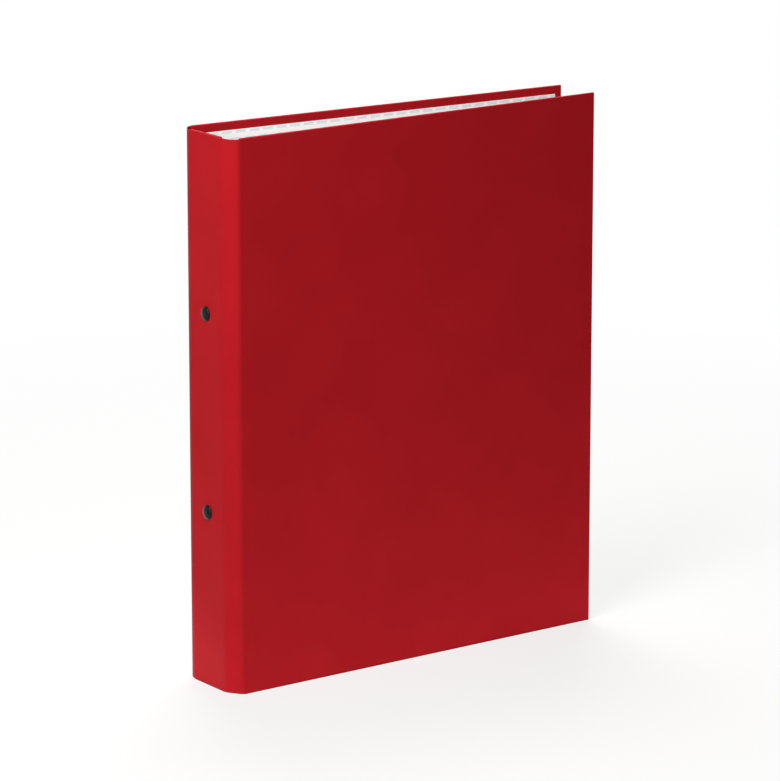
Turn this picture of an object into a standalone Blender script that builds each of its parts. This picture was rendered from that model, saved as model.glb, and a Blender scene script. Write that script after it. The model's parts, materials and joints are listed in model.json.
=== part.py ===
"""A4 two-ring binder: three boards in a red wrap, hinge bands between them, and a ring mechanism.

The binder stands upright on its bottom edges. X runs from the spine to the fore-edge, the front cover
is on the -Y side, the back cover on the +Y side, and the origin is at the middle of the base.
"""
import math

import bmesh
import bpy

MM = 0.001

# Overall sizes of the case
HEIGHT = 320.0 * MM
COVER_LENGTH = 252.0 * MM
SPINE_FLAT = 30.0 * MM
COVER_LEAN = math.radians(2.0)

# Hinge band: a wide bend at the spine, a flat, and a tighter bend at the cover
SPINE_BEND = 10.5 * MM
HINGE_FLAT = 4.0 * MM
COVER_BEND = 3.6 * MM
HINGE_TURN = math.radians(33.0)

# Sheets that the case is made of
WRAP_THICK = 0.25 * MM
BOARD_THICK = 1.7 * MM
LINING_THICK = 0.15 * MM
GLUE_GAP = 0.1 * MM
TURN_IN = 15.0 * MM
LINING_BORDER = 4.7 * MM
HINGE_NOTCH = 0.5 * MM
CREASE_GAP = 0.32 * MM

# Rivets through the spine and the posts that they are set into
RIVET_SPACING = 115.0 * MM
RIVET_HEAD = 8.4 * MM
RIVET_RISE = 1.6 * MM
RIVET_RIM = 0.4 * MM
RIVET_SHANK = 3.2 * MM
POST_WALL = 0.55 * MM
POST_FLANGE = 7.0 * MM
POST_FLANGE_THICK = 0.6 * MM
HOLE_GAP = 0.15 * MM
SEAT_GAP = 0.1 * MM

# Shroud and blades of the ring mechanism
SHROUD_WIDTH = 20.0 * MM
SHROUD_RISE = 5.6 * MM
SHROUD_SIDE = 2.6 * MM
SHROUD_SHEET = 0.8 * MM
SHROUD_LIP = 1.6 * MM
SHROUD_END = 9.5 * MM
SHROUD_CORNER = 7.0 * MM
BLADE_THICK = 0.8 * MM
BLADE_TILT = math.radians(6.0)
BLADE_CLEAR = 0.4 * MM
BLADE_MEET = 0.2 * MM
BLADE_END = 5.0 * MM
POST_CLEAR = 0.6 * MM

# Half rings
RING_SPACING = 80.0 * MM
RING_BORE = 28.0 * MM
WIRE = 2.8 * MM
WIRE_BEND = 3.0 * MM
WIRE_STEM = 0.4 * MM
ROOT_INSET = 2.3 * MM
SPIGOT = 2.0 * MM
TIP_GAP = 0.15 * MM
TIP_LAND = 1.0 * MM
NOTCH_CLEAR = 0.5 * MM

# Facets of the round shapes
TURN_STEPS = 32
HOLE_STEPS = 24
DOME_STEPS = 8
ARCH_STEPS = 16
CORNER_STEPS = 6
BEND_STEPS = 4
FOLD_STEPS = 6
RING_STEPS = 18
WIRE_RESOLUTION = 4
EDGE_STEPS = 3

# Sizes that follow from the ones above
EDGE_ROUND = 2 * WRAP_THICK
STRIP_MID = (WRAP_THICK + GLUE_GAP + LINING_THICK) / 2
BOARD_OUT = WRAP_THICK + GLUE_GAP
POCKET_IN = BOARD_OUT + BOARD_THICK + GLUE_GAP
WRAP_IN = POCKET_IN + WRAP_THICK
LINING_OUT = WRAP_IN + GLUE_GAP
LINING_IN = LINING_OUT + LINING_THICK
LIP_END = CREASE_GAP + LINING_THICK
BOARD_START = LIP_END + GLUE_GAP

FOLD = math.pi / 2 + COVER_LEAN
HINGE_ACROSS = (SPINE_BEND * math.sin(HINGE_TURN) + HINGE_FLAT * math.cos(HINGE_TURN)
                + COVER_BEND * (math.sin(FOLD) - math.sin(HINGE_TURN)))
HINGE_REACH = (SPINE_BEND * (1 - math.cos(HINGE_TURN)) + HINGE_FLAT * math.sin(HINGE_TURN)
               + COVER_BEND * (math.cos(HINGE_TURN) - math.cos(FOLD)))
FORE_EDGE = STRIP_MID + HINGE_REACH + COVER_LENGTH * math.cos(COVER_LEAN)
SPINE_FACE_X = (SEAT_GAP + RIVET_RISE - FORE_EDGE) / 2

SHANK_RADIUS = RIVET_SHANK / 2
POST_BORE = SHANK_RADIUS + HOLE_GAP
POST_RADIUS = POST_BORE + POST_WALL
SHROUD_HALF = SHROUD_WIDTH / 2
SHROUD_LENGTH = RIVET_SPACING + 2 * SHROUD_END
BLADE_LENGTH = SHROUD_LENGTH - 2 * BLADE_END
PIVOT_ACROSS = SHROUD_HALF - SHROUD_SHEET - BLADE_CLEAR
PIVOT_HEIGHT = SEAT_GAP + SHROUD_SHEET + BLADE_CLEAR + BLADE_THICK / 2
BLADE_WIDTH = PIVOT_ACROSS - BLADE_MEET
WIRE_ROOT = PIVOT_ACROSS - ROOT_INSET
RING_RADIUS = (RING_BORE + WIRE) / 2

# Cutters run this far past what they cut through
CUT_REACH = HEIGHT

# The front and the back mirror each other across the spine, and the ends across the middle of its height
SIDES = {"front": 1, "back": -1}
ENDS = {"upper": 1, "lower": -1}

# Finishes: sRGB colour, roughness, metallic
RED_WRAP = ("A51C22", 0.38, 0.0)
GREYBOARD = ("8E867A", 0.9, 0.0)
WHITE_LINING = ("F2EFEC", 0.6, 0.0)
NICKEL_STEEL = ("C9C9C6", 0.18, 1.0)
DARK_STEEL = ("8F9092", 0.35, 1.0)


def clear_scene():
    for obj in list(bpy.data.objects):
        bpy.data.objects.remove(obj, do_unlink=True)


def linear(channel):
    if channel <= 0.04045:
        return channel / 12.92
    return ((channel + 0.055) / 1.055) ** 2.4


def give_finish(obj, finish):
    colour, roughness, metallic = finish
    material = bpy.data.materials.new(obj.name)
    material.use_nodes = True
    shader = material.node_tree.nodes["Principled BSDF"]
    channels = [linear(int(colour[i:i + 2], 16) / 255) for i in (0, 2, 4)]
    shader.inputs["Base Color"].default_value = (*channels, 1.0)
    shader.inputs["Roughness"].default_value = roughness
    shader.inputs["Metallic"].default_value = metallic
    obj.data.materials.append(material)


def add_frame(name, parent, location, turn=0.0):
    frame = bpy.data.objects.new(name, None)
    bpy.context.collection.objects.link(frame)
    frame.parent = parent
    frame.location = location
    frame.rotation_euler = (0.0, 0.0, turn)
    return frame


def add_object(name, data, parent, finish=None):
    obj = bpy.data.objects.new(name, data)
    bpy.context.collection.objects.link(obj)
    obj.parent = parent
    if finish:
        give_finish(obj, finish)
    return obj


def add_cutter(name, mesh, parent):
    cutter = add_object(name, mesh, parent)
    cutter.hide_render = True
    cutter.display_type = "WIRE"
    return cutter


def cut(obj, cutter, operation="DIFFERENCE"):
    modifier = obj.modifiers.new(cutter.name, "BOOLEAN")
    modifier.operation = operation
    modifier.solver = "EXACT"
    modifier.object = cutter


def finish_mesh(name, bm):
    bmesh.ops.recalc_face_normals(bm, faces=bm.faces)
    mesh = bpy.data.meshes.new(name)
    bm.to_mesh(mesh)
    bm.free()
    return mesh


def extrude_outline(bm, outline, low, high):
    """Raise a closed outline of (x, y) points from z = low to z = high."""
    face = bm.faces.new([bm.verts.new((x, y, low)) for x, y in outline])
    raised = bmesh.ops.extrude_face_region(bm, geom=[face])["geom"]
    top = [item for item in raised if isinstance(item, bmesh.types.BMVert)]
    bmesh.ops.translate(bm, verts=top, vec=(0.0, 0.0, high - low))


def prism(name, outline, low, high):
    bm = bmesh.new()
    extrude_outline(bm, outline, low, high)
    return finish_mesh(name, bm)


def rectangle(low, high):
    return [(low[0], low[1]), (high[0], low[1]), (high[0], high[1]), (low[0], high[1])]


def block(name, low, high):
    return prism(name, rectangle(low, high), low[2], high[2])


def add_cylinder(bm, radius, across, along, low, high):
    """A cylinder on an axis parallel to Y, at x = across and z = along."""
    made = bmesh.ops.create_cone(bm, cap_ends=True, segments=HOLE_STEPS, radius1=radius, radius2=radius,
                                 depth=1.0)
    for vert in made["verts"]:
        x, y, z = vert.co
        vert.co = (across + x, low + (z + 0.5) * (high - low), along - y)


def turned(name, profile, parent, finish, along, height, outward):
    """A piece turned about the line across the spine at z = along: profile is (radius, reach) points."""
    mesh = bpy.data.meshes.new(name)
    closed = profile[0][0] > 0
    edges = [(i, i + 1) for i in range(len(profile) - 1)]
    if closed:
        edges.append((len(profile) - 1, 0))
    mesh.from_pydata([(radius, 0.0, reach) for radius, reach in profile], edges, [])
    obj = add_object(name, mesh, parent, finish)
    obj.location = (0.0, height, along)
    obj.rotation_euler = (math.pi / 2 if outward else -math.pi / 2, 0.0, 0.0)
    screw = obj.modifiers.new("turn", "SCREW")
    screw.steps = TURN_STEPS
    screw.render_steps = TURN_STEPS
    screw.use_merge_vertices = True
    screw.merge_threshold = 0.001 * MM
    screw.use_smooth_shade = True
    return obj


def rounded_slab(name, low, high, open_ends):
    """A slab whose edges are rounded, apart from those around its open ends (faces across X)."""
    bm = bmesh.new()
    extrude_outline(bm, rectangle(low, high), low[2], high[2])
    tolerance = GLUE_GAP / 10
    edges = []
    for edge in bm.edges:
        at_open_end = any(all(abs(v.co.x - end) < tolerance for v in edge.verts) for end in open_ends)
        along_thickness = abs(edge.verts[0].co.y - edge.verts[1].co.y) > tolerance
        if not at_open_end and not along_thickness:
            edges.append(edge)
    bmesh.ops.bevel(bm, geom=edges, offset=EDGE_ROUND, segments=EDGE_STEPS, profile=0.5, affect="EDGES",
                    clamp_overlap=True)
    return finish_mesh(name, bm)


def depths(side, outer, inner):
    """Local Y of two depths below the outer face, lowest first."""
    return sorted((side * (outer - STRIP_MID), side * (inner - STRIP_MID)))


def leaf_block(name, side, start, end, outer, inner, low, high):
    y_low, y_high = depths(side, outer, inner)
    return block(name, (start, y_low, low), (end, y_high, high))


def build_wrap(name, frame, side, start, end, free_edge):
    """Red sheet round a board: outer face, turned edges and turned-in flaps, open towards each crease."""
    y_low, y_high = depths(side, 0.0, WRAP_IN)
    open_ends = [start] if free_edge else [start, end]
    slab = rounded_slab(name, (start, y_low, 0.0), (end, y_high, HEIGHT), open_ends)
    wrap = add_object(name, slab, frame, RED_WRAP)

    set_back = BOARD_START - CREASE_GAP
    pocket_end = end - WRAP_THICK if free_edge else end + CUT_REACH
    window_end = end - TURN_IN if free_edge else end + CUT_REACH
    pocket = leaf_block(name + "_pocket", side, start - CUT_REACH, pocket_end, WRAP_THICK, POCKET_IN,
                        WRAP_THICK, HEIGHT - WRAP_THICK)
    window = leaf_block(name + "_window", side, start - CUT_REACH, window_end, WRAP_IN / 2,
                        WRAP_IN + WRAP_THICK, TURN_IN, HEIGHT - TURN_IN)
    cut(wrap, add_cutter(pocket.name, pocket, frame))
    cut(wrap, add_cutter(window.name, window, frame))

    set_backs = [(start - set_back, start + set_back)]
    if not free_edge:
        set_backs.append((end - set_back, end + set_back))
    for index, (near, far) in enumerate(set_backs):
        mesh = leaf_block(f"{name}_set_back_{index}", side, near, far, BOARD_OUT, WRAP_IN + WRAP_THICK,
                          -CUT_REACH, HEIGHT + CUT_REACH)
        cut(wrap, add_cutter(mesh.name, mesh, frame))
    return wrap


def build_board(name, frame, side, start, end, free_edge):
    set_back = BOARD_START - CREASE_GAP
    board_end = end - BOARD_OUT if free_edge else end - set_back
    mesh = leaf_block(name, side, start + set_back, board_end, BOARD_OUT, BOARD_OUT + BOARD_THICK,
                      BOARD_OUT, HEIGHT - BOARD_OUT)
    return add_object(name, mesh, frame, GREYBOARD)


def build_lining(name, frame, side, start, end, free_edge):
    """White sheet over the inner face, turned down over the board's edge at each crease."""
    outline = [(start, BOARD_OUT), (start + LINING_THICK, BOARD_OUT), (start + LINING_THICK, LINING_OUT)]
    if free_edge:
        far = end - LINING_BORDER
        outline += [(far, LINING_OUT), (far, LINING_IN)]
    else:
        outline += [(end - LINING_THICK, LINING_OUT), (end - LINING_THICK, BOARD_OUT), (end, BOARD_OUT),
                    (end, LINING_IN)]
    outline.append((start, LINING_IN))
    placed = [(along, side * (depth - STRIP_MID)) for along, depth in outline]
    mesh = prism(name, placed, LINING_BORDER, HEIGHT - LINING_BORDER)
    return add_object(name, mesh, frame, WHITE_LINING)


def build_leaf(prefix, frame, side, start, end, free_edge):
    wrap = build_wrap(prefix + "_wrap", frame, side, start, end, free_edge)
    board = build_board(prefix + "_board", frame, side, start, end, free_edge)
    lining = build_lining(prefix + "_lining", frame, side, start, end, free_edge)
    return wrap, board, lining


def hinge_path(depth):
    """Plan of the hinge band at a depth below its outer face: (along, inwards) points, crease to crease."""
    cover_centre = (HINGE_ACROSS - COVER_BEND * math.sin(FOLD), HINGE_REACH + COVER_BEND * math.cos(FOLD))
    bends = [((0.0, SPINE_BEND), SPINE_BEND, CREASE_GAP / SPINE_BEND, HINGE_TURN),
             (cover_centre, COVER_BEND, HINGE_TURN, FOLD - CREASE_GAP / COVER_BEND)]
    path = []
    for (along, inwards), bend, first, last in bends:
        radius = bend + STRIP_MID - depth
        for step in range(FOLD_STEPS + 1):
            angle = first + (last - first) * step / FOLD_STEPS
            path.append((along + radius * math.sin(angle), inwards - radius * math.cos(angle)))
    return path


def build_hinge_band(prefix, frame, side):
    """The bent strip between the spine and a cover: wrap outside, lining inside, no board."""
    sheets = [("_hinge_wrap", 0.0, WRAP_THICK, HINGE_NOTCH, RED_WRAP),
              ("_hinge_lining", BOARD_OUT, BOARD_OUT + LINING_THICK, LINING_BORDER, WHITE_LINING)]
    for suffix, outer, inner, border, finish in sheets:
        outline = hinge_path(outer) + hinge_path(inner)[::-1]
        placed = [(along, side * inwards) for along, inwards in outline]
        mesh = prism(prefix + suffix, placed, border, HEIGHT - border)
        add_object(mesh.name, mesh, frame, finish)


def build_case(spine_frame):
    half = SPINE_FLAT / 2 - CREASE_GAP
    spine = build_leaf("spine", spine_frame, 1, -half, half, False)
    bm = bmesh.new()
    for end in ENDS.values():
        add_cylinder(bm, POST_BORE, 0.0, (HEIGHT + end * RIVET_SPACING) / 2, -CUT_REACH, CUT_REACH)
    holes = add_cutter("rivet_holes", finish_mesh("rivet_holes", bm), spine_frame)
    for sheet in spine:
        cut(sheet, holes)
    for prefix, side in SIDES.items():
        turn = 0.0 if side > 0 else math.pi
        hinge = add_frame(prefix + "_spine_crease", spine_frame, (side * SPINE_FLAT / 2, 0.0, 0.0), turn)
        build_hinge_band(prefix, hinge, side)
        crease = (HINGE_ACROSS, side * HINGE_REACH, 0.0)
        cover = add_frame(prefix + "_board_crease", hinge, crease, side * FOLD)
        build_leaf(prefix, cover, side, CREASE_GAP, COVER_LENGTH, True)


def arch(radius, centre, half_width):
    """Points of a circular arch from +half_width to -half_width."""
    spread = math.asin(half_width / radius)
    angles = [spread * (1 - 2 * i / ARCH_STEPS) for i in range(ARCH_STEPS + 1)]
    return [(radius * math.sin(angle), centre + radius * math.cos(angle)) for angle in angles]


def shroud_plan():
    """The shroud's outline with its rounded corners, seen from the covers, as deep as the shroud is wide."""
    across = SHROUD_HALF - SHROUD_CORNER
    along = SHROUD_LENGTH / 2 - SHROUD_CORNER
    outline = []
    for quarter, (side, end) in enumerate([(1, 1), (-1, 1), (-1, -1), (1, -1)]):
        for step in range(CORNER_STEPS + 1):
            angle = math.pi / 2 * (quarter + step / CORNER_STEPS)
            outline.append((side * across + SHROUD_CORNER * math.cos(angle),
                            end * along + SHROUD_CORNER * math.sin(angle)))
    bm = bmesh.new()
    extrude_outline(bm, outline, -SHROUD_HALF, SHROUD_HALF)
    for vert in bm.verts:
        x, y, z = vert.co
        vert.co = (x, z, y)
    return finish_mesh("shroud_plan", bm)


def build_shroud(frame):
    """Arched sheet steel housing with turned-in lips, notches for the wires and holes for the posts."""
    sag = SHROUD_RISE - SHROUD_SIDE
    radius = (SHROUD_HALF ** 2 + sag ** 2) / (2 * sag)
    centre = SEAT_GAP + SHROUD_RISE - radius
    inner_half = SHROUD_HALF - SHROUD_SHEET
    lip_half = inner_half - SHROUD_LIP
    lip_top = SEAT_GAP + SHROUD_SHEET
    outline = [(SHROUD_HALF, SEAT_GAP)]
    outline += arch(radius, centre, SHROUD_HALF)
    outline += [(-SHROUD_HALF, SEAT_GAP), (-lip_half, SEAT_GAP), (-lip_half, lip_top), (-inner_half, lip_top)]
    outline += reversed(arch(radius - SHROUD_SHEET, centre, inner_half))
    outline += [(inner_half, lip_top), (lip_half, lip_top), (lip_half, SEAT_GAP)]
    mesh = prism("ring_shroud", outline, -SHROUD_LENGTH, SHROUD_LENGTH)
    shroud = add_object("ring_shroud", mesh, frame, NICKEL_STEEL)
    cut(shroud, add_cutter("shroud_plan", shroud_plan(), frame), "INTERSECT")

    bm = bmesh.new()
    inner = WIRE_ROOT - WIRE / 2 - NOTCH_CLEAR
    half_slot = WIRE / 2 + NOTCH_CLEAR
    floor = PIVOT_HEIGHT + BLADE_THICK
    for side in SIDES.values():
        for end in ENDS.values():
            middle = end * RING_SPACING / 2
            near, far = sorted((side * inner, side * CUT_REACH))
            slot = rectangle((near, floor), (far, CUT_REACH))
            extrude_outline(bm, slot, middle - half_slot, middle + half_slot)
    cut(shroud, add_cutter("wire_notches", finish_mesh("wire_notches", bm), frame))

    bm = bmesh.new()
    for end in ENDS.values():
        add_cylinder(bm, POST_RADIUS + HOLE_GAP, 0.0, end * RIVET_SPACING / 2, PIVOT_HEIGHT, CUT_REACH)
    cut(shroud, add_cutter("post_holes", finish_mesh("post_holes", bm), frame))


def build_blade(prefix, pivot, side):
    """Spring steel blade that turns on its outer edge, tilted so that its inner edge is nearer the spine."""
    name = prefix + "_blade"
    low, high = sorted((0.0, -side * BLADE_WIDTH))
    half_length = BLADE_LENGTH / 2
    mesh = block(name, (low, -BLADE_THICK / 2, -half_length), (high, BLADE_THICK / 2, half_length))
    blade = add_object(name, mesh, pivot, DARK_STEEL)
    blade.rotation_euler = (0.0, 0.0, side * BLADE_TILT)

    bm = bmesh.new()
    holes = [(SPIGOT / 2 + HOLE_GAP, ROOT_INSET, RING_SPACING / 2),
             (POST_RADIUS + POST_CLEAR, PIVOT_ACROSS, RIVET_SPACING / 2)]
    for radius, inset, along in holes:
        for end in ENDS.values():
            add_cylinder(bm, radius, -side * inset, end * along, -CUT_REACH, CUT_REACH)
    cut(blade, add_cutter(name + "_holes", finish_mesh(name + "_holes", bm), pivot))


def wire_path():
    """Half ring seen along the spine: (across, height, thickness) from its spigot to its tip."""
    blade_here = PIVOT_HEIGHT - ROOT_INSET * math.tan(BLADE_TILT)
    half_blade = BLADE_THICK / 2 / math.cos(BLADE_TILT)
    spigot_end = blade_here - half_blade
    shoulder = blade_here + half_blade + WIRE / 2 * math.tan(BLADE_TILT) + SEAT_GAP
    bend_start = shoulder + WIRE_STEM
    join = math.asin((WIRE_ROOT + WIRE_BEND) / (RING_RADIUS + WIRE_BEND))
    centre = bend_start + (RING_RADIUS + WIRE_BEND) * math.cos(join)

    path = [(WIRE_ROOT, spigot_end, SPIGOT), (WIRE_ROOT, shoulder - SEAT_GAP / 2, SPIGOT)]
    path += [(WIRE_ROOT, shoulder, WIRE), (WIRE_ROOT, bend_start, WIRE)]
    for step in range(1, BEND_STEPS + 1):
        turn = (math.pi / 2 - join) * step / BEND_STEPS
        across = WIRE_ROOT + WIRE_BEND * (1 - math.cos(turn))
        path.append((across, bend_start + WIRE_BEND * math.sin(turn), WIRE))
    last = math.pi - math.asin((TIP_GAP + TIP_LAND) / RING_RADIUS)
    for step in range(1, RING_STEPS + 1):
        angle = join + (last - join) * step / RING_STEPS
        path.append((RING_RADIUS * math.sin(angle), centre - RING_RADIUS * math.cos(angle), WIRE))
    path.append((TIP_GAP, path[-1][1], WIRE))
    return path


def build_half_ring(name, pivot, side, along):
    curve = bpy.data.curves.new(name, "CURVE")
    curve.dimensions = "3D"
    curve.fill_mode = "FULL"
    curve.bevel_depth = WIRE / 2
    curve.bevel_resolution = WIRE_RESOLUTION
    curve.use_fill_caps = True
    path = wire_path()
    spline = curve.splines.new("POLY")
    spline.points.add(len(path) - 1)
    spline.use_smooth = True
    for point, (across, height, thickness) in zip(spline.points, path):
        point.co = (side * (across - PIVOT_ACROSS), height - PIVOT_HEIGHT, along, 1.0)
        point.radius = thickness / WIRE
    add_object(name, curve, pivot, NICKEL_STEEL)


def build_rivet(name, frame, along):
    """Domed head outside the spine, with a shank through the board into the post."""
    head = RIVET_HEAD / 2
    dome = RIVET_RISE - RIVET_RIM
    shank_end = -(LINING_IN + SEAT_GAP + SHROUD_RISE)
    profile = []
    for step in range(DOME_STEPS + 1):
        angle = math.pi / 2 * step / DOME_STEPS
        profile.append((head * math.sin(angle), SEAT_GAP + RIVET_RIM + dome * math.cos(angle)))
    profile += [(head, SEAT_GAP), (SHANK_RADIUS, SEAT_GAP), (SHANK_RADIUS, shank_end), (0.0, shank_end)]
    turned(name, profile, frame, NICKEL_STEEL, along, -STRIP_MID, True)


def build_post(name, frame, along):
    """Flanged tube from the shroud's crown down to the spine lining."""
    flange = POST_FLANGE / 2
    seat = SHROUD_RISE + 2 * SEAT_GAP
    top = seat + POST_FLANGE_THICK
    profile = [(POST_BORE, top), (flange, top), (flange, seat), (POST_RADIUS, seat), (POST_RADIUS, SEAT_GAP),
               (POST_BORE, SEAT_GAP)]
    turned(name, profile, frame, NICKEL_STEEL, along, 0.0, False)


def build_mechanism(spine_frame):
    frame = add_frame("mechanism", spine_frame, (0.0, LINING_IN - STRIP_MID, HEIGHT / 2))
    build_shroud(frame)
    for prefix, side in SIDES.items():
        pivot = add_frame(prefix + "_blade_pivot", frame, (side * PIVOT_ACROSS, PIVOT_HEIGHT, 0.0))
        build_blade(prefix, pivot, side)
        for position, end in ENDS.items():
            build_half_ring(f"{position}_{prefix}_half_ring", pivot, side, end * RING_SPACING / 2)
    for position, end in ENDS.items():
        build_post(position + "_post", frame, end * RIVET_SPACING / 2)
        build_rivet(position + "_rivet", spine_frame, (HEIGHT + end * RIVET_SPACING) / 2)


def main():
    clear_scene()
    spine_frame = add_frame("spine", None, (SPINE_FACE_X + STRIP_MID, 0.0, 0.0), -math.pi / 2)
    build_case(spine_frame)
    build_mechanism(spine_frame)
    bpy.context.view_layer.update()


main()
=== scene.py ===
"""Looks of a red A4 ring binder: wrapped boards, hinge bands, lining paper and a nickel ring mechanism."""
import json
import math

import bmesh
import bpy
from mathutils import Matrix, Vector


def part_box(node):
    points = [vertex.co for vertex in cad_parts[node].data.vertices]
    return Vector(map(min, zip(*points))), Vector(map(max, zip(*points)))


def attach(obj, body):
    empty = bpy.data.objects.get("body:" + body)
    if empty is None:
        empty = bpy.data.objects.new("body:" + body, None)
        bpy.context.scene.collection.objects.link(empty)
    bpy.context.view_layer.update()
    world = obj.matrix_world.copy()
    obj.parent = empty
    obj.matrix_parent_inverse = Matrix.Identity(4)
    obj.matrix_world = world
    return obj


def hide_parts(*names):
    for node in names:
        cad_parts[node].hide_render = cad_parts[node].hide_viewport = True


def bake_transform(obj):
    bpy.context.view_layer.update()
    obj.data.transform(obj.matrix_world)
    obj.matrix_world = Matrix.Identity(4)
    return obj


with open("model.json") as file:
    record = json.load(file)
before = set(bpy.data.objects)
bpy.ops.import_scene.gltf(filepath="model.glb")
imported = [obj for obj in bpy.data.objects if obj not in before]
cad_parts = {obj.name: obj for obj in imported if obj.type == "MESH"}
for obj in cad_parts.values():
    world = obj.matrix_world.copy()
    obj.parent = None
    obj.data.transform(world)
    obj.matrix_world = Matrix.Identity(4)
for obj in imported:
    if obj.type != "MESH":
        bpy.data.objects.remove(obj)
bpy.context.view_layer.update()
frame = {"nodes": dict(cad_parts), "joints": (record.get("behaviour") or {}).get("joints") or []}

MM = 0.001
TINY = 0.01 * MM
OVERCUT = 1.0 * MM
JOINT_AT = {joint["name"]: Vector(joint["pos_m"]) for joint in frame["joints"]}
SIDES = {"front": -1, "back": 1}
ENDS = ("upper", "lower")

# Sheets of the case, as depths below the outer face
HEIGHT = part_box("spine_wrap")[1].z
COVER_LENGTH = 252.0 * MM
COVER_LEAN = math.radians(2.0)
WRAP = 0.25 * MM
LINING = 0.15 * MM
CREASE_DEPTH = 0.25 * MM
COVER_DEPTH = 2.4 * MM
LINING_DEPTH = 2.65 * MM
TURN_IN = 15.0 * MM
BORDER = 4.7 * MM

# Rolled edges of the wrap: on the boards, and on the hinge band where the wrap is folded on itself
BOARD_ROLL = 0.55 * MM
BAND_ROLL = 0.29 * MM
BAND_DEPTH = 0.6 * MM
BAND_NOTCH = 0.5 * MM
RIM_LAND = 0.4 * MM
ROLL_STEPS = 4

# Hinge band: a wide bend at the spine, a flat, and a tighter bend at the cover
BEND = {"spine": 10.5 * MM, "cover": 3.6 * MM}
SPINE_TURN = math.radians(33.0)
TURN = {"spine": SPINE_TURN, "cover": math.pi / 2 + COVER_LEAN - SPINE_TURN}
BAND_FLAT = 4.0 * MM
BEND_STEPS = 10
BOARD_START = 0.45 * MM
BAND_START = 0.25 * MM
LIP_AT = 0.05 * MM
LIP_ROUND = 0.4 * MM
LIP_STEPS = 4
BAND_LINING_DEPTH = 0.8 * MM

# Step that the turned-in wrap leaves in the lining over it
STEP_WIDTH = 1.2 * MM
STEP_DROP = 0.2 * MM

# Rivets and posts
RIVET_HEAD = 4.2 * MM
RIVET_DOME = 1.2 * MM
RIVET_RIM = 0.4 * MM
SHANK = 1.6 * MM
POST_BORE = 1.75 * MM
POST_TUBE = 2.3 * MM
POST_FLANGE = 3.5 * MM
POST_FLANGE_THICK = 0.6 * MM
SEAT_GAP = 0.1 * MM
TURNED_SIDES = 64
SOFT_EDGE = 0.12 * MM
SOFT_EDGE_SEGMENTS = 3

# Shroud
SHROUD_RISE = 5.6 * MM
SHROUD_SIDE = 2.6 * MM
SHROUD_SHEET = 0.8 * MM
SHROUD_LIP = 2.4 * MM
SHROUD_CORNER = 7.0 * MM
SHROUD_FOLD = 0.9 * MM
FOLD_SEGMENTS = 5
CORNER_SEGMENTS = 16
RIM_SEGMENTS = 2
ARCH_STEPS = 40
NOTCH_INSIDE = 4.6 * MM
NOTCH_HALF = 1.9 * MM
NOTCH_FLOOR = 2.5 * MM
NOTCH_SEGMENTS = 6
POST_HOLE = 2.45 * MM

# Half rings, as distances from the mechanism's middle and above the lining
WIRE = 1.4 * MM
WIRE_ROOT = 6.5 * MM
WIRE_BEND = 3.0 * MM
WIRE_SHOULDER = 2.1077 * MM
WIRE_STEM = 0.4 * MM
SPIGOT = 1.0 * MM
SPIGOT_END = 1.06 * MM
RING_RADIUS = 15.4 * MM
TIP_GAP = 0.15 * MM
TIP_LAND = 1.0 * MM
TIP_CHAMFER = 0.25 * MM
WIRE_SIDES = 28
WIRE_BEND_STEPS = 10
RING_STEPS = 56

# Angles in degrees between faces above which an edge stays sharp
SHARP_SHEET = 35.0
SHARP_TURNED = 50.0

# A face looks along an axis where its normal's share of it is larger than this
ALONG_AXIS = 0.9

# Width of the rubbed edge of the wrap
RUBBED = 0.7 * MM

# Floor: its size, the distances in metres between which it turns to white, and how white it is at the first
FLOOR_SIZE = 60.0
FLOOR_NEAR = 0.25
FLOOR_FAR = 0.9
FLOOR_WHITE_NEAR = 0.7

# Strength of the light from all around, and height of the lamp that lies on the floor
AMBIENT = 0.05
TABLE_LIGHT_AT = 0.5 * MM

# Camera of the photograph, looking at a point near the middle of the binder
VIEW_AZIMUTH = math.radians(-34.87)
VIEW_ELEVATION = math.radians(13.41)
VIEW_DISTANCE = 2.6341
VIEW_AIM = Vector((-1.64, 2.04, 155.55)) * MM
FOCAL_PIXELS = 4549.0
PICTURE_LONG_SIDE = 781
SENSOR_MM = 36.0
CLIP_END = 100.0


def make_active(obj):
    bpy.ops.object.select_all(action="DESELECT")
    obj.select_set(True)
    bpy.context.view_layer.objects.active = obj


def new_piece(name):
    """The primitive that was just added, under its own name and with its place in its mesh."""
    obj = bpy.context.object
    obj.name = name
    obj.data.name = name
    settle(obj)
    return obj


def copy_piece(pattern, name):
    """A copy of a finished piece, with its own mesh."""
    make_active(pattern)
    bpy.ops.object.duplicate(linked=False)
    return new_piece(name)


def settle(obj):
    make_active(obj)
    bpy.ops.object.transform_apply(location=True, rotation=True, scale=True)


def edit(obj):
    make_active(obj)
    bpy.ops.object.mode_set(mode="EDIT")


def leave_edit():
    bpy.ops.object.mode_set(mode="OBJECT")


def pick(obj, kind, test):
    """Select the vertices, edges or faces of the piece in edit mode that pass a test."""
    bpy.ops.mesh.select_mode(type=kind)
    bpy.ops.mesh.select_all(action="DESELECT")
    mesh = bmesh.from_edit_mesh(obj.data)
    items = {"VERT": mesh.verts, "EDGE": mesh.edges, "FACE": mesh.faces}[kind]
    for item in items:
        if test(item):
            item.select_set(True)
    mesh.select_flush_mode()
    bmesh.update_edit_mesh(obj.data)


def move_picked(obj, rule):
    """Move each selected vertex to where a rule puts it."""
    mesh = bmesh.from_edit_mesh(obj.data)
    for vert in mesh.verts:
        if vert.select:
            vert.co = rule(vert.co)
    bmesh.update_edit_mesh(obj.data)


def upright_at(x, y):
    """A test for edges that stand upright at a place of the plan."""
    def test(edge):
        return all(abs(v.co.x - x) < TINY and abs(v.co.y - y) < TINY for v in edge.verts)
    return test


def extrude_by(step):
    bpy.ops.mesh.extrude_region_move(TRANSFORM_OT_translate={"value": step})


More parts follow.
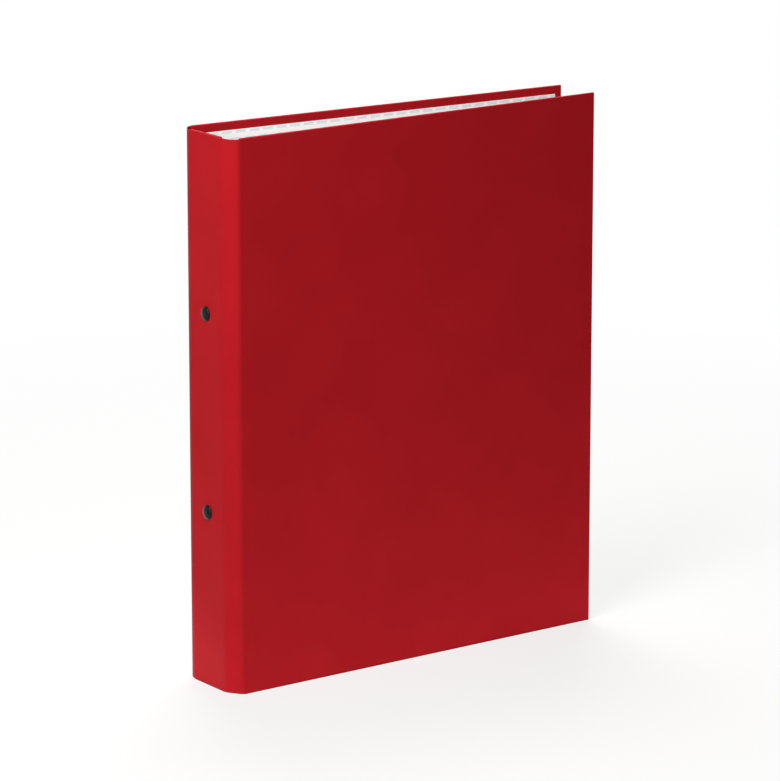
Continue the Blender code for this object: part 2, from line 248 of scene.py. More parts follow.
def draw_out(points):
    """Extrude the selected upright edge through the next points of the plan."""
    for here, there in zip(points, points[1:]):
        step = (there[0] - here[0], there[1] - here[1], 0.0)
        extrude_by(step)


def face_outwards(obj, direction):
    """Turn all faces alike, so that the largest one looks along the given direction."""
    bpy.ops.mesh.select_all(action="SELECT")
    bpy.ops.mesh.normals_make_consistent(inside=False)
    mesh = bmesh.from_edit_mesh(obj.data)
    largest = max(mesh.faces, key=lambda face: face.calc_area())
    if largest.normal.dot(direction) < 0:
        bpy.ops.mesh.flip_normals()


def apply_modifier(obj, kind, **settings):
    make_active(obj)
    modifier = obj.modifiers.new(kind.lower(), kind)
    for name, value in settings.items():
        setattr(modifier, name, value)
    bpy.ops.object.modifier_apply(modifier=modifier.name)


def cut_away(obj, cutter, operation="DIFFERENCE"):
    apply_modifier(obj, "BOOLEAN", operation=operation, solver="EXACT", object=cutter)
    bpy.data.objects.remove(cutter, do_unlink=True)


def smooth(obj, degrees=SHARP_SHEET):
    make_active(obj)
    bpy.ops.object.shade_smooth_by_angle(angle=math.radians(degrees))


def crease_point(side, where):
    """Outer face of the wrap at a crease, in plan."""
    at = JOINT_AT[f"{side}_{where}_crease"]
    if where == "spine":
        return Vector((at.x - CREASE_DEPTH, at.y, 0.0))
    sign = SIDES[side]
    return at.xy.to_3d() + CREASE_DEPTH * Vector((math.sin(COVER_LEAN), sign * math.cos(COVER_LEAN), 0.0))


def band_path(leaf, depth):
    """Plan of the sheet at a depth, from a leaf's crease at x = 0 to the middle of the hinge band."""
    centre = BEND[leaf] + CREASE_DEPTH
    radius = centre - depth
    path = []
    for step in range(BEND_STEPS + 1):
        angle = TURN[leaf] * step / BEND_STEPS
        path.append((-radius * math.sin(angle), centre - radius * math.cos(angle)))
    x, y = path[-1]
    path.append((x - BAND_FLAT / 2 * math.cos(TURN[leaf]), y + BAND_FLAT / 2 * math.sin(TURN[leaf])))
    return path


def bend_reach(leaf):
    """How far the bend's outer face reaches past the crease, along the leaf."""
    return (BEND[leaf] + CREASE_DEPTH) * math.sin(TURN[leaf])


def add_sheet(name, left, right, low, high, depth, facing):
    """An upright flat sheet along X, looking out of the binder (facing 1) or into it (facing -1)."""
    middle = ((left + right) / 2, depth, (low + high) / 2)
    bpy.ops.mesh.primitive_plane_add(size=1.0, location=middle, rotation=(facing * math.pi / 2, 0.0, 0.0))
    bpy.context.object.scale = (right - left, high - low, 1.0)
    return new_piece(name)


def roll_profile(radius, depth):
    """Steps (outwards, inwards) that take the wrap's edge round a board and back over its inner face."""
    steps = [(RIM_LAND, 0.0)]
    quarter = [math.pi / 2 * step / ROLL_STEPS for step in range(ROLL_STEPS + 1)]
    for near, far in zip(quarter, quarter[1:]):
        steps.append((radius * (math.sin(far) - math.sin(near)), radius * (math.cos(near) - math.cos(far))))
    steps.append((0.0, depth - 2 * radius))
    for near, far in zip(quarter, quarter[1:]):
        steps.append((radius * (math.cos(far) - math.cos(near)), radius * (math.sin(far) - math.sin(near))))
    steps.append((-RIM_LAND, 0.0))
    steps.append((radius + RIM_LAND - TURN_IN, 0.0))
    return steps


def inward(co, leaf):
    """Direction into the binder at a place of the plan of a leaf."""
    angle = 0.0 if co.x >= 0 else min(math.atan2(-co.x, BEND[leaf] + CREASE_DEPTH - co.y), TURN[leaf])
    return Vector((math.sin(angle), math.cos(angle), 0.0))


def model_wrap(name, leaf, length):
    """Red sheet of one leaf along X: outer face, half of the hinge band, and edges rolled and turned in."""
    board_steps = roll_profile(BOARD_ROLL, COVER_DEPTH)
    band_steps = roll_profile(BAND_ROLL, BAND_DEPTH)
    set_in = BOARD_ROLL + RIM_LAND
    free_edge = leaf == "cover"
    far = length - set_in if free_edge else length
    obj = add_sheet(name, BOARD_START, far, set_in, HEIGHT - set_in, 0.0, 1)
    edit(obj)
    pick(obj, "EDGE", upright_at(BOARD_START, 0.0))
    path = band_path(leaf, 0.0)
    draw_out([(BOARD_START, 0.0), (BAND_START, 0.0)] + path)

    # The band stops short of the boards' ends, in a shallow notch
    drop = BAND_NOTCH + BAND_ROLL - BOARD_ROLL
    middle = HEIGHT / 2

    def notch(co):
        share = min(1.0, max(0.0, -co.x) / bend_reach(leaf))
        # Ease in and out along the bend
        share = share * share * (3 - 2 * share)
        towards_middle = -1 if co.z > middle else 1
        return co + Vector((0.0, 0.0, towards_middle * drop * share))

    bpy.ops.mesh.select_all(action="SELECT")
    move_picked(obj, notch)

    seam = path[-1][0]

    def is_rim(edge):
        if not edge.is_boundary:
            return False
        at_seam = all(abs(v.co.x - seam) < TINY for v in edge.verts)
        at_end = not free_edge and all(abs(v.co.x - length) < TINY for v in edge.verts)
        return not at_seam and not at_end

    pick(obj, "EDGE", is_rim)
    for (board_out, board_in), (band_out, band_in) in zip(board_steps, band_steps):
        def roll(co):
            on_board = co.x > (BOARD_START + BAND_START) / 2
            out, deeper = (board_out, board_in) if on_board else (band_out, band_in)
            up = out if co.z > middle else -out
            along = out if free_edge and co.x > length / 2 else 0.0
            return co + Vector((along, 0.0, up)) + deeper * inward(co, leaf)

        bpy.ops.mesh.extrude_region()
        move_picked(obj, roll)
    face_outwards(obj, Vector((0.0, -1.0, 0.0)))
    leave_edit()
    apply_modifier(obj, "SOLIDIFY", thickness=WRAP, offset=-1.0, use_even_offset=True, use_rim=True)
    smooth(obj)
    return obj


def model_lining(name, leaf, length):
    """White paper of one leaf along X: inner face, lip over the board's end, and half of the hinge band."""
    free_edge = leaf == "cover"
    far = length - BORDER if free_edge else length
    start = LIP_AT + LIP_ROUND
    obj = add_sheet(name, start, far, BORDER, HEIGHT - BORDER, LINING_DEPTH, -1)
    edit(obj)
    pick(obj, "EDGE", upright_at(start, LINING_DEPTH))
    path = []
    for step in range(LIP_STEPS + 1):
        angle = math.pi / 2 * step / LIP_STEPS
        path.append((start - LIP_ROUND * math.sin(angle), LINING_DEPTH - LIP_ROUND * (1 - math.cos(angle))))
    path.append((LIP_AT, BAND_LINING_DEPTH))
    draw_out(path + band_path(leaf, BAND_LINING_DEPTH))
    if free_edge:
        press_in_window(obj, length)
    face_outwards(obj, Vector((0.0, 1.0, 0.0)))
    leave_edit()
    apply_modifier(obj, "SOLIDIFY", thickness=LINING, offset=-1.0, use_even_offset=True, use_rim=True)
    smooth(obj)
    return obj


def press_in_window(obj, length):
    """Sink the paper inside the turned-in wrap, whose edge shows through as a soft step on three sides."""
    cuts = []
    for inset in (TURN_IN, TURN_IN + STEP_WIDTH):
        cuts += [((length - inset, 0.0, 0.0), (1.0, 0.0, 0.0)), ((0.0, 0.0, inset), (0.0, 0.0, 1.0)),
                 ((0.0, 0.0, HEIGHT - inset), (0.0, 0.0, 1.0))]
    for place, normal in cuts:
        bpy.ops.mesh.select_all(action="SELECT")
        bpy.ops.mesh.bisect(plane_co=place, plane_no=normal)
    edge = TURN_IN + STEP_WIDTH - TINY

    def in_window(vert):
        x, y, z = vert.co
        on_board = LIP_AT - TINY < x < length - edge and edge < z < HEIGHT - edge
        return on_board and y > COVER_DEPTH - LIP_ROUND

    pick(obj, "VERT", in_window)
    bpy.ops.transform.translate(value=(0.0, -STEP_DROP, 0.0))


def leaf_place(side, leaf):
    """Where a leaf lies: origin of its crease, direction away from it, and whether it is turned over."""
    sign = SIDES[side]
    if leaf == "spine":
        return crease_point(side, "spine"), Vector((0.0, -sign, 0.0)), side == "front"
    direction = Vector((math.cos(COVER_LEAN), -sign * math.sin(COVER_LEAN), 0.0))
    return crease_point(side, "board"), direction, side == "back"


def place_leaf(obj, side, leaf):
    """Put a leaf modelled along X in its place; one that is turned over stands on its other end."""
    origin, direction, turned_over = leaf_place(side, leaf)
    map_leaf(obj)
    obj.rotation_euler = (math.pi if turned_over else 0.0, 0.0, math.atan2(direction.y, direction.x))
    obj.location = (origin.x, origin.y, HEIGHT if turned_over else 0.0)
    settle(obj)


def map_leaf(obj):
    """UV map in metres of the leaf as it lies along X, so that a print follows the leaf."""
    uv = obj.data.uv_layers.new(name="leaf")
    for loop in obj.data.loops:
        co = obj.data.vertices[loop.vertex_index].co
        uv.data[loop.index].uv = (co.x, co.z)


def bend_leaf(obj, leaf):
    """Bake the leaf's placement into its mesh."""
    if leaf == "spine":
        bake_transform(obj)
    else:
        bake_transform(obj)


def bore_for_rivets(obj):
    for end in ENDS:
        low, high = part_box(f"{end}_rivet")
        bpy.ops.mesh.primitive_cylinder_add(vertices=TURNED_SIDES, radius=POST_BORE, depth=high.x - low.x,
                                            location=(low + high) / 2, rotation=(0.0, math.pi / 2, 0.0))
        cut_away(obj, new_piece("rivet_bore"))


def build_case(red, white):
    lengths = {"cover": COVER_LENGTH, "spine": abs(crease_point("front", "spine").y)}
    for leaf, length in lengths.items():
        wrap = model_wrap("wrap_sheet", leaf, length)
        paper = model_lining("lining_paper", leaf, length)
        for pattern, kind, finish, slot in ((wrap, "wrap", red, "red_wrap"),
                                            (paper, "lining", white, "white_lining")):
            for side in SIDES:
                obj = copy_piece(pattern, f"{side}_{leaf}_{pattern.name}")
                place_leaf(obj, side, leaf)
                if leaf == "spine":
                    bore_for_rivets(obj)
                    smooth(obj)
                obj.data.materials.clear()
                obj.data.materials.append(finish)
                bend_leaf(obj, leaf)
                body = "spine" if leaf == "spine" else side
                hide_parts(f"{body}_{kind}", f"{side}_hinge_{kind}")
            bpy.data.objects.remove(pattern)


# Ring mechanism, modelled with X across the spine and Y away from it

def place_in_mechanism(obj, along, turned=False):
    obj.rotation_euler = (0.0, math.pi if turned else 0.0, -math.pi / 2)
    obj.location = (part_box("spine_lining")[1].x, 0.0, along)
    settle(obj)


def dress(obj, body, node, finish):
    obj.data.materials.clear()
    obj.data.materials.append(finish)
    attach(obj, body)
    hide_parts(node)


def model_half_ring(name):
    """Round wire: a stem out of the blade, a bend outwards, and half of the ring up to its flat tip."""
    bend_start = WIRE_SHOULDER + WIRE_STEM
    join = math.asin((WIRE_ROOT + WIRE_BEND) / (RING_RADIUS + WIRE_BEND))
    centre = bend_start + (RING_RADIUS + WIRE_BEND) * math.cos(join)
    last = math.pi - math.asin((TIP_GAP + TIP_LAND) / RING_RADIUS)
    bpy.ops.mesh.primitive_circle_add(vertices=WIRE_SIDES, radius=WIRE, fill_type="NGON",
                                      location=(WIRE_ROOT, WIRE_SHOULDER, 0.0),
                                      rotation=(math.pi / 2, 0.0, 0.0))
    obj = new_piece(name)
    edit(obj)
    bpy.ops.mesh.select_all(action="SELECT")
    extrude_by((0.0, WIRE_STEM, 0.0))
    # Seen from +Z, a spin by a positive angle runs clockwise
    bpy.ops.mesh.spin(steps=WIRE_BEND_STEPS, angle=math.pi / 2 - join, axis=(0.0, 0.0, 1.0),
                      center=(WIRE_ROOT + WIRE_BEND, bend_start, 0.0))
    bpy.ops.mesh.spin(steps=RING_STEPS, angle=join - last, axis=(0.0, 0.0, 1.0), center=(0.0, centre, 0.0))
    extrude_by((TIP_CHAMFER - TIP_LAND, 0.0, 0.0))
    bpy.ops.transform.resize(value=(0.0, 1.0, 1.0))
    extrude_by((-TIP_CHAMFER, 0.0, 0.0))
    shrink = 1 - TIP_CHAMFER / WIRE
    bpy.ops.transform.resize(value=(1.0, shrink, shrink))

    # Spigot that sits in the blade
    pick(obj, "FACE", lambda face: all(abs(v.co.y - WIRE_SHOULDER) < TINY for v in face.verts))
    bpy.ops.mesh.inset(thickness=WIRE - SPIGOT)
    extrude_by((0.0, SPIGOT_END - WIRE_SHOULDER, 0.0))
    bpy.ops.mesh.select_all(action="SELECT")
    bpy.ops.mesh.remove_doubles(threshold=TINY / 10)
    bpy.ops.mesh.normals_make_consistent(inside=False)
    leave_edit()
    smooth(obj)
    return obj


def build_half_rings(finish):
    pattern = model_half_ring("ring_wire")
    for end in ENDS:
        for side in SIDES:
            node = f"{end}_{side}_half_ring"
            low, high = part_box(node)
            obj = copy_piece(pattern, f"{end}_{side}_{pattern.name}")
            place_in_mechanism(obj, (low.z + high.z) / 2, turned=side == "back")
            dress(obj, f"{side}_rings", node, finish)
    bpy.data.objects.remove(pattern)


def on_circle(radius, height):
    """A test for edges of a turned piece at a radius and height."""
    def test(edge):
        return all(abs(v.co.xy.length - radius) < TINY and abs(v.co.z - height) < TINY for v in edge.verts)
    return test


def model_rivet(name, shank_length):
    """Domed head with a short rim, and a shank, turned about Z with the head's seat at z = 0."""
    bpy.ops.mesh.primitive_uv_sphere_add(segments=TURNED_SIDES, ring_count=TURNED_SIDES // 2,
                                         radius=RIVET_HEAD)
    bpy.context.object.scale = (1.0, 1.0, RIVET_DOME / RIVET_HEAD)
    bpy.context.object.location = (0.0, 0.0, RIVET_RIM)
    obj = new_piece(name)
    edit(obj)
    bpy.ops.mesh.select_all(action="SELECT")
    bpy.ops.mesh.bisect(plane_co=(0.0, 0.0, RIVET_RIM), plane_no=(0.0, 0.0, 1.0), clear_inner=True)
    pick(obj, "EDGE", lambda edge: edge.is_boundary)
    extrude_by((0.0, 0.0, -RIVET_RIM))
    bpy.ops.mesh.extrude_region()
    share = SHANK / RIVET_HEAD
    bpy.ops.transform.resize(value=(share, share, 1.0))
    extrude_by((0.0, 0.0, -shank_length))
    bpy.ops.mesh.edge_face_add()
    pick(obj, "EDGE", on_circle(RIVET_HEAD, 0.0))
    bpy.ops.mesh.bevel(offset=SOFT_EDGE, segments=SOFT_EDGE_SEGMENTS, affect="EDGES")
    bpy.ops.mesh.select_all(action="SELECT")
    bpy.ops.mesh.normals_make_consistent(inside=False)
    leave_edit()
    smooth(obj, SHARP_TURNED)
    return obj


def model_post(name, length):
    """Flanged tube turned about Z, with its foot at z = 0."""
    bpy.ops.mesh.primitive_cylinder_add(vertices=TURNED_SIDES, radius=POST_FLANGE, depth=POST_FLANGE_THICK,
                                        location=(0.0, 0.0, length - POST_FLANGE_THICK / 2))
    obj = new_piece(name)
    edit(obj)
    pick(obj, "FACE", lambda face: face.normal.z < -ALONG_AXIS)
    bpy.ops.mesh.inset(thickness=POST_FLANGE - POST_TUBE)
    extrude_by((0.0, 0.0, POST_FLANGE_THICK - length))
    bpy.ops.mesh.inset(thickness=POST_TUBE - POST_BORE)
    bpy.ops.mesh.delete(type="FACE")
    pick(obj, "FACE", lambda face: face.normal.z > ALONG_AXIS)
    bpy.ops.mesh.inset(thickness=POST_FLANGE - POST_BORE)
    bpy.ops.mesh.delete(type="FACE")
    pick(obj, "EDGE", lambda edge: edge.is_boundary)
    bpy.ops.mesh.bridge_edge_loops()
    on_flange = on_circle(POST_FLANGE, length)
    on_bore = on_circle(POST_BORE, length)
    pick(obj, "EDGE", lambda edge: on_flange(edge) or on_bore(edge))
    bpy.ops.mesh.bevel(offset=SOFT_EDGE, segments=SOFT_EDGE_SEGMENTS, affect="EDGES")
    bpy.ops.mesh.select_all(action="SELECT")
    bpy.ops.mesh.normals_make_consistent(inside=False)
    leave_edit()
    smooth(obj, SHARP_TURNED)
    return obj


def build_rivets(dark, bright):
    head = RIVET_DOME + RIVET_RIM
    low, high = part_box("upper_rivet")
    rivet = model_rivet("rivet_head", high.x - low.x - head)
    seat = low.x + head
    low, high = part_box("upper_post")
    post = model_post("rivet_post", high.x - low.x)
    foot = low.x
    # The heads take the dark finish, whose near-black colour is painted dark reflection
    for pattern, node, place, turn, finish in ((rivet, "rivet", seat, -math.pi / 2, dark),
                                               (post, "post", foot, math.pi / 2, bright)):
        for end in ENDS:
            low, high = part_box(f"{end}_{node}")
            obj = copy_piece(pattern, f"{end}_{pattern.name}")
            obj.rotation_euler = (0.0, turn, 0.0)
            obj.location = (place, 0.0, (low.z + high.z) / 2)
            settle(obj)
            dress(obj, "spine", f"{end}_{node}", finish)
        bpy.data.objects.remove(pattern)


def model_shroud_sheet(name, length, half):
    """Arched sheet steel with folded sides and lips."""
    sag = SHROUD_RISE - SHROUD_SIDE
    radius = (half ** 2 + sag ** 2) / (2 * sag)
    centre = SEAT_GAP + SHROUD_RISE - radius
    spread = math.asin(half / radius)
    arch = []
    for step in range(ARCH_STEPS + 1):
        angle = spread * (1 - 2 * step / ARCH_STEPS)
        arch.append((radius * math.sin(angle), centre + radius * math.cos(angle)))
    bpy.ops.mesh.primitive_plane_add(size=length, rotation=(math.pi / 2, 0.0, 0.0))
    obj = new_piece(name)
    edit(obj)
    pick(obj, "VERT", lambda vert: vert.co.x < 0)
    bpy.ops.mesh.delete(type="VERT")
    bpy.ops.mesh.select_all(action="SELECT")
    move_picked(obj, lambda co: Vector((half, SEAT_GAP + SHROUD_SIDE, co.z)))
    draw_out(arch)
    for side in (1, -1):
        pick(obj, "EDGE", upright_at(side * half, SEAT_GAP + SHROUD_SIDE))
        draw_out([(0.0, SHROUD_SIDE), (0.0, 0.0), (-side * SHROUD_LIP, 0.0)])
        for height in (SEAT_GAP + SHROUD_SIDE, SEAT_GAP):
            pick(obj, "EDGE", upright_at(side * half, height))
            bpy.ops.mesh.bevel(offset=SHROUD_FOLD, segments=FOLD_SEGMENTS, affect="EDGES")
    face_outwards(obj, Vector((0.0, 1.0, 0.0)))
    leave_edit()
    apply_modifier(obj, "SOLIDIFY", thickness=SHROUD_SHEET, offset=-1.0, use_even_offset=True, use_rim=True)
    return obj


def round_shroud_corners(obj, length, half):
    """Keep what lies inside a block of the shroud's plan, whose corners are round."""
    bpy.ops.mesh.primitive_cube_add(size=1.0)
    bpy.context.object.scale = (2 * half + OVERCUT, 4 * SHROUD_RISE, length)
    plan = new_piece("shroud_plan")
    edit(plan)
    pick(plan, "EDGE", lambda edge: abs(edge.verts[0].co.y - edge.verts[1].co.y) > SHROUD_RISE)
    bpy.ops.mesh.bevel(offset=SHROUD_CORNER, segments=CORNER_SEGMENTS, affect="EDGES")
    leave_edit()
    cut_away(obj, plan, "INTERSECT")


def cut_shroud_openings(obj, half, middle):
    """Notches that the ring wires pass through, and holes for the posts."""
    for end in ENDS:
        ring_low, ring_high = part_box(f"{end}_front_half_ring")
        along = (ring_low.z + ring_high.z) / 2 - middle
        for side in (1, -1):
            reach = half - NOTCH_INSIDE + OVERCUT
            place = (side * (NOTCH_INSIDE + reach / 2), NOTCH_FLOOR + SHROUD_RISE / 2, along)
            bpy.ops.mesh.primitive_cube_add(size=1.0, location=place)
            bpy.context.object.scale = (reach, SHROUD_RISE, 2 * NOTCH_HALF)
            notch = new_piece("wire_notch")
            edit(notch)
            pick(notch, "EDGE", lambda edge: abs(edge.verts[0].co.y - edge.verts[1].co.y) > SHROUD_RISE / 2)
            bpy.ops.mesh.bevel(offset=NOTCH_HALF / 2, segments=NOTCH_SEGMENTS, affect="EDGES")
            leave_edit()
            cut_away(obj, notch)
        post_low, post_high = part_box(f"{end}_post")
        along = (post_low.z + post_high.z) / 2 - middle
        bpy.ops.mesh.primitive_cylinder_add(vertices=TURNED_SIDES, radius=POST_HOLE, depth=SHROUD_RISE,
                                            location=(0.0, SHROUD_RISE, along),
                                            rotation=(math.pi / 2, 0.0, 0.0))
        cut_away(obj, new_piece("post_hole"))


def model_shroud(name):
    """Sheet steel cover of the ring mechanism, with softened edges."""
    low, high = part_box("ring_shroud")
    length, half = high.z - low.z, (high.y - low.y) / 2
    obj = model_shroud_sheet(name, length, half)
    round_shroud_corners(obj, length, half)
    cut_shroud_openings(obj, half, (low.z + high.z) / 2)
    apply_modifier(obj, "BEVEL", width=SOFT_EDGE, segments=RIM_SEGMENTS, limit_method="ANGLE",
                   angle_limit=math.radians(SHARP_TURNED))
    smooth(obj)
    # Normals follow the large faces, so that the long strips of the arch shade evenly up to the cuts
    apply_modifier(obj, "WEIGHTED_NORMAL", keep_sharp=True)
    return obj


def build_shroud(finish):
    low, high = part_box("ring_shroud")
    obj = model_shroud("ring_housing")
    place_in_mechanism(obj, (low.z + high.z) / 2)
    dress(obj, "spine", "ring_shroud", finish)


# Materials

def colour(hex_text):
    """Linear RGBA of an sRGB hex colour."""
    channels = [int(hex_text[i:i + 2], 16) / 255 for i in (0, 2, 4)]
    return [c / 12.92 if c <= 0.04045 else ((c + 0.055) / 1.055) ** 2.4 for c in channels] + [1.0]


def add(tree, kind, links=(), **settings):
    """Add a node: settings are its properties or, by name with _ for spaces, its sockets' values."""
    node = tree.nodes.new("ShaderNode" + kind)
    for name, value in settings.items():
        if hasattr(node, name):
            setattr(node, name, value)
        else:
            node.inputs[name.replace("_", " ")].default_value = value
    for socket, source in dict(links).items():
        tree.links.new(source, node.inputs[socket])
    return node


def new_material(name):
    material = bpy.data.materials.new(name)
    material.use_nodes = True
    return material, material.node_tree, material.node_tree.nodes["Principled BSDF"]


def noise(tree, size_mm, detail, roughness=0.5):
    """Noise with spots of about this many millimetres, fixed to the piece."""
    place = add(tree, "TexCoord").outputs["Object"]
    return add(tree, "TexNoise", {"Vector": place}, Scale=1.0 / (size_mm * MM), Detail=detail,
               Roughness=roughness).outputs["Fac"]


def ramp(tree, value, low, high, stops=(0.3, 0.7)):
    """Colour ramp between two sRGB colours."""
    node = add(tree, "ValToRGB", {"Fac": value})
    for element, position, hex_text in zip(node.color_ramp.elements, stops, (low, high)):
        element.position = position
        element.color = colour(hex_text)
    return node.outputs["Color"]


def near_edges(tree, width):
    """1 on the leaf's top, bottom and free edges, falling to 0 at a width inside them."""
    at = add(tree, "SeparateXYZ", {"Vector": add(tree, "UVMap", uv_map="leaf").outputs["UV"]})
    to_top = add(tree, "Math", {1: at.outputs["Y"]}, operation="SUBTRACT")
    to_top.inputs[0].default_value = HEIGHT
    to_end = add(tree, "Math", {1: at.outputs["X"]}, operation="SUBTRACT")
    to_end.inputs[0].default_value = COVER_LENGTH
    ends = add(tree, "Math", {0: at.outputs["Y"], 1: to_top.outputs[0]}, operation="MINIMUM")
    nearest = add(tree, "Math", {0: ends.outputs[0], 1: to_end.outputs[0]}, operation="MINIMUM")
    return add(tree, "MapRange", {"Value": nearest.outputs[0]}, From_Min=0.0, From_Max=width, To_Min=1.0,
               To_Max=0.0).outputs["Result"]


def red_laminated_paper():
    """Red printed paper with a satin film: smooth, faintly mottled, a little rubbed at its edges."""
    material, tree, shader = new_material("red laminated paper")
    cloud = noise(tree, 35.0, detail=3.0)
    # Real fibre grain is about 0.3 mm; it is drawn at 0.9 mm so that it shows at all
    grain = noise(tree, 0.9, detail=4.0, roughness=0.6)
    patch = noise(tree, 6.0, detail=5.0, roughness=0.7)
    rubbed = add(tree, "MapRange", {"Value": patch}, From_Min=0.45, From_Max=0.75)
    rub = add(tree, "Math", {0: near_edges(tree, RUBBED), 1: rubbed.outputs["Result"]}, operation="MULTIPLY")
    tint = add(tree, "Mix", {"Factor": rub.outputs[0], "A": ramp(tree, cloud, "A0161D", "A6181F")},
               data_type="RGBA")
    tint.inputs["B"].default_value = colour("AA343A")
    satin = add(tree, "MapRange", {"Value": grain}, To_Min=0.36, To_Max=0.48)
    dull = add(tree, "Math", {0: satin.outputs["Result"], 1: rub.outputs[0]}, operation="ADD",
               use_clamp=True)
    bump = add(tree, "Bump", {"Height": grain}, Strength=0.06, Distance=0.05 * MM)
    wave = add(tree, "Bump", {"Height": cloud, "Normal": bump.outputs["Normal"]}, Strength=0.25,
               Distance=0.15 * MM)
    tree.links.new(tint.outputs["Result"], shader.inputs["Base Color"])
    tree.links.new(dull.outputs[0], shader.inputs["Roughness"])
    tree.links.new(wave.outputs["Normal"], shader.inputs["Normal"])
    shader.inputs["Specular IOR Level"].default_value = 0.02
    return material


def white_lining_paper():
    """Uncoated white paper, matt and fine-grained, with rows of pale grey-blue dashes printed on it."""
    material, tree, shader = new_material("white lining paper")
    fibre = noise(tree, 0.8, detail=5.0, roughness=0.65)
    leaf = add(tree, "UVMap", uv_map="leaf").outputs["UV"]
    # Dashes 9 mm apart along a row and rows 4 mm apart; the mortar between the bricks is the bare paper
    print_rows = add(tree, "TexBrick", {"Vector": leaf}, offset=0.37, Scale=1.0, Mortar_Size=1.4 * MM,
                     Mortar_Smooth=0.2, Brick_Width=9.0 * MM, Row_Height=4.0 * MM)
    ink = add(tree, "Math", {1: print_rows.outputs["Fac"]}, operation="SUBTRACT")
    ink.inputs[0].default_value = 1.0
    tint = add(tree, "Mix", {"Factor": ink.outputs[0], "A": ramp(tree, fibre, "F3F2F0", "FAF9F7")},
               data_type="RGBA")
    tint.inputs["B"].default_value = colour("DCE3E7")
    bump = add(tree, "Bump", {"Height": fibre}, Strength=0.15, Distance=0.05 * MM)
    tree.links.new(tint.outputs["Result"], shader.inputs["Base Color"])
    tree.links.new(bump.outputs["Normal"], shader.inputs["Normal"])
    shader.inputs["Roughness"].default_value = 0.65
    shader.inputs["Specular IOR Level"].default_value = 0.2
    return material


def greyboard():
    """Grey board pressed from waste paper: dull, with light and dark fibre flecks."""
    material, tree, shader = new_material("greyboard")
    fleck = noise(tree, 1.5, detail=6.0, roughness=0.7)
    bump = add(tree, "Bump", {"Height": fleck}, Strength=0.4, Distance=0.1 * MM)
    tree.links.new(ramp(tree, fleck, "7C756A", "A09889"), shader.inputs["Base Color"])
    tree.links.new(bump.outputs["Normal"], shader.inputs["Normal"])
    shader.inputs["Roughness"].default_value = 0.9
    return material


def plated_steel(name, dark, light, smoothest, roughest, scratch_mm):
    """Polished plating over steel, with hair scratches that scatter the reflections a little."""
    material, tree, shader = new_material(name)
    scratch = noise(tree, scratch_mm, detail=6.0, roughness=0.7)
    gloss = add(tree, "MapRange", {"Value": scratch}, To_Min=smoothest, To_Max=roughest)
    bump = add(tree, "Bump", {"Height": scratch}, Strength=0.05, Distance=0.02 * MM)
    tree.links.new(ramp(tree, scratch, dark, light), shader.inputs["Base Color"])
    tree.links.new(gloss.outputs["Result"], shader.inputs["Roughness"])
    tree.links.new(bump.outputs["Normal"], shader.inputs["Normal"])
    shader.inputs["Metallic"].default_value = 1.0
    return material


def give(nodes, finish):
    for node in nodes:
        mesh = frame["nodes"][node].data
        mesh.materials.clear()
        mesh.materials.append(finish)


# Stage

def seen_directly(tree):
    """1 where the background is seen by the camera or in a reflection, 0 where it lights the object."""
    path = add(tree, "LightPath")
    seen = add(tree, "Math", {0: path.outputs["Is Camera Ray"], 1: path.outputs["Is Glossy Ray"]},
               operation="MAXIMUM")
    return add(tree, "Math", {0: seen.outputs[0], 1: path.outputs["Is Transmission Ray"]},
               operation="MAXIMUM").outputs[0]


def add_floor():
    """Pale floor that is seen as white further out and keeps the binder's shadow."""
    bpy.ops.mesh.primitive_plane_add(size=FLOOR_SIZE)
    floor = new_piece("studio_floor")
    material, tree, shader = new_material("pale studio floor")
    shader.inputs["Base Color"].default_value = colour("E6E6E4")
    shader.inputs["Roughness"].default_value = 0.9
    white = add(tree, "Emission", Strength=1.0)
    place = add(tree, "TexCoord").outputs["Object"]
    distance = add(tree, "VectorMath", {0: place}, operation="LENGTH")
    share = add(tree, "MapRange", {"Value": distance.outputs["Value"]}, From_Min=FLOOR_NEAR,
                From_Max=FLOOR_FAR, To_Min=FLOOR_WHITE_NEAR, To_Max=1.0)
    mix = add(tree, "Math", {0: share.outputs["Result"], 1: seen_directly(tree)}, operation="MULTIPLY")
    blend = add(tree, "MixShader", {0: mix.outputs[0], 1: shader.outputs[0], 2: white.outputs[0]})
    tree.links.new(blend.outputs[0], tree.nodes["Material Output"].inputs["Surface"])
    floor.data.materials.append(material)


def add_world():
    """White surroundings that add only a little light of their own."""
    world = bpy.data.worlds.new("studio")
    world.use_nodes = True
    tree = world.node_tree
    back = tree.nodes["Background"]
    back.inputs["Color"].default_value = (1.0, 1.0, 1.0, 1.0)
    strength = add(tree, "MapRange", {"Value": seen_directly(tree)}, To_Min=AMBIENT, To_Max=1.0)
    tree.links.new(strength.outputs["Result"], back.inputs["Strength"])
    bpy.context.scene.world = world


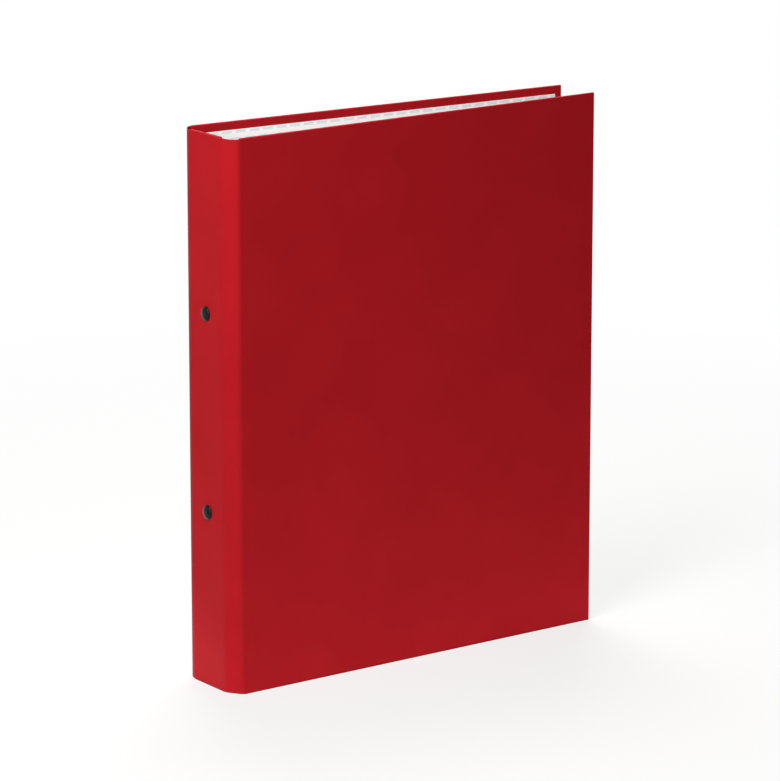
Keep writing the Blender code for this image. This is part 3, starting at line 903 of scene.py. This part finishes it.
def add_softbox(name, azimuth, elevation, distance, size, power):
    """Square lamp aimed at the middle of the binder: angles in degrees, metres and watts."""
    turn, rise = math.radians(azimuth), math.radians(elevation)
    back = Vector((math.sin(turn) * math.cos(rise), -math.cos(turn) * math.cos(rise), math.sin(rise)))
    lamp = bpy.data.lights.new(name, "AREA")
    lamp.size = size
    lamp.energy = power
    obj = bpy.data.objects.new(name, lamp)
    obj.visible_camera = False
    bpy.context.scene.collection.objects.link(obj)
    obj.location = Vector((0.0, 0.0, HEIGHT / 2)) + back * distance
    obj.rotation_euler = (-back).to_track_quat("-Z", "Y").to_euler()


def add_camera():
    camera = bpy.data.cameras.new("photo_view")
    camera.sensor_width = SENSOR_MM
    camera.lens = FOCAL_PIXELS * SENSOR_MM / PICTURE_LONG_SIDE
    camera.clip_end = CLIP_END
    obj = bpy.data.objects.new("photo_view", camera)
    bpy.context.scene.collection.objects.link(obj)
    flat = math.cos(VIEW_ELEVATION)
    back = Vector((math.sin(VIEW_AZIMUTH) * flat, -math.cos(VIEW_AZIMUTH) * flat, math.sin(VIEW_ELEVATION)))
    obj.location = VIEW_AIM + back * VIEW_DISTANCE
    obj.rotation_euler = (-back).to_track_quat("-Z", "Y").to_euler()
    bpy.context.scene.camera = obj


def main():
    red = red_laminated_paper()
    white = white_lining_paper()
    bright_nickel = plated_steel("polished nickel plate", "B9B7B2", "CFCDC8", smoothest=0.10, roughest=0.22,
                                 scratch_mm=3.0)
    # The rivet heads' nickel is coloured nearly black: painted dark reflection of the shaded surroundings
    # that polished nickel heads mirror
    nickel_with_painted_dark_reflection = plated_steel("black nickel plate", "1E1E1E", "2A2A29", smoothest=0.05, roughest=0.10,
                               scratch_mm=2.0)
    spring_steel = plated_steel("oiled spring steel", "77787A", "8E8F91", smoothest=0.28, roughest=0.42,
                                scratch_mm=1.5)
    build_case(red, white)
    build_half_rings(bright_nickel)
    build_rivets(nickel_with_painted_dark_reflection, bright_nickel)
    build_shroud(bright_nickel)
    give(("front_board", "spine_board", "back_board"), greyboard())
    give(("front_blade", "back_blade"), spring_steel)

    add_floor()
    add_world()
    add_softbox("key_softbox", azimuth=-60.0, elevation=22.0, distance=1.3, size=0.5, power=6.0)
    add_softbox("high_softbox", azimuth=-64.0, elevation=50.0, distance=0.9, size=0.4, power=5.9)
    add_softbox("back_softbox", azimuth=150.0, elevation=60.0, distance=1.2, size=0.6, power=14.0)
    # The last lamp lies on the floor and shines up, as a white table throws light back on the covers
    add_softbox("table_light", azimuth=0.0, elevation=-90.0, distance=HEIGHT / 2 - TABLE_LIGHT_AT, size=0.36,
                power=0.31)
    add_camera()
    bpy.context.scene.view_settings.view_transform = "Standard"


main()
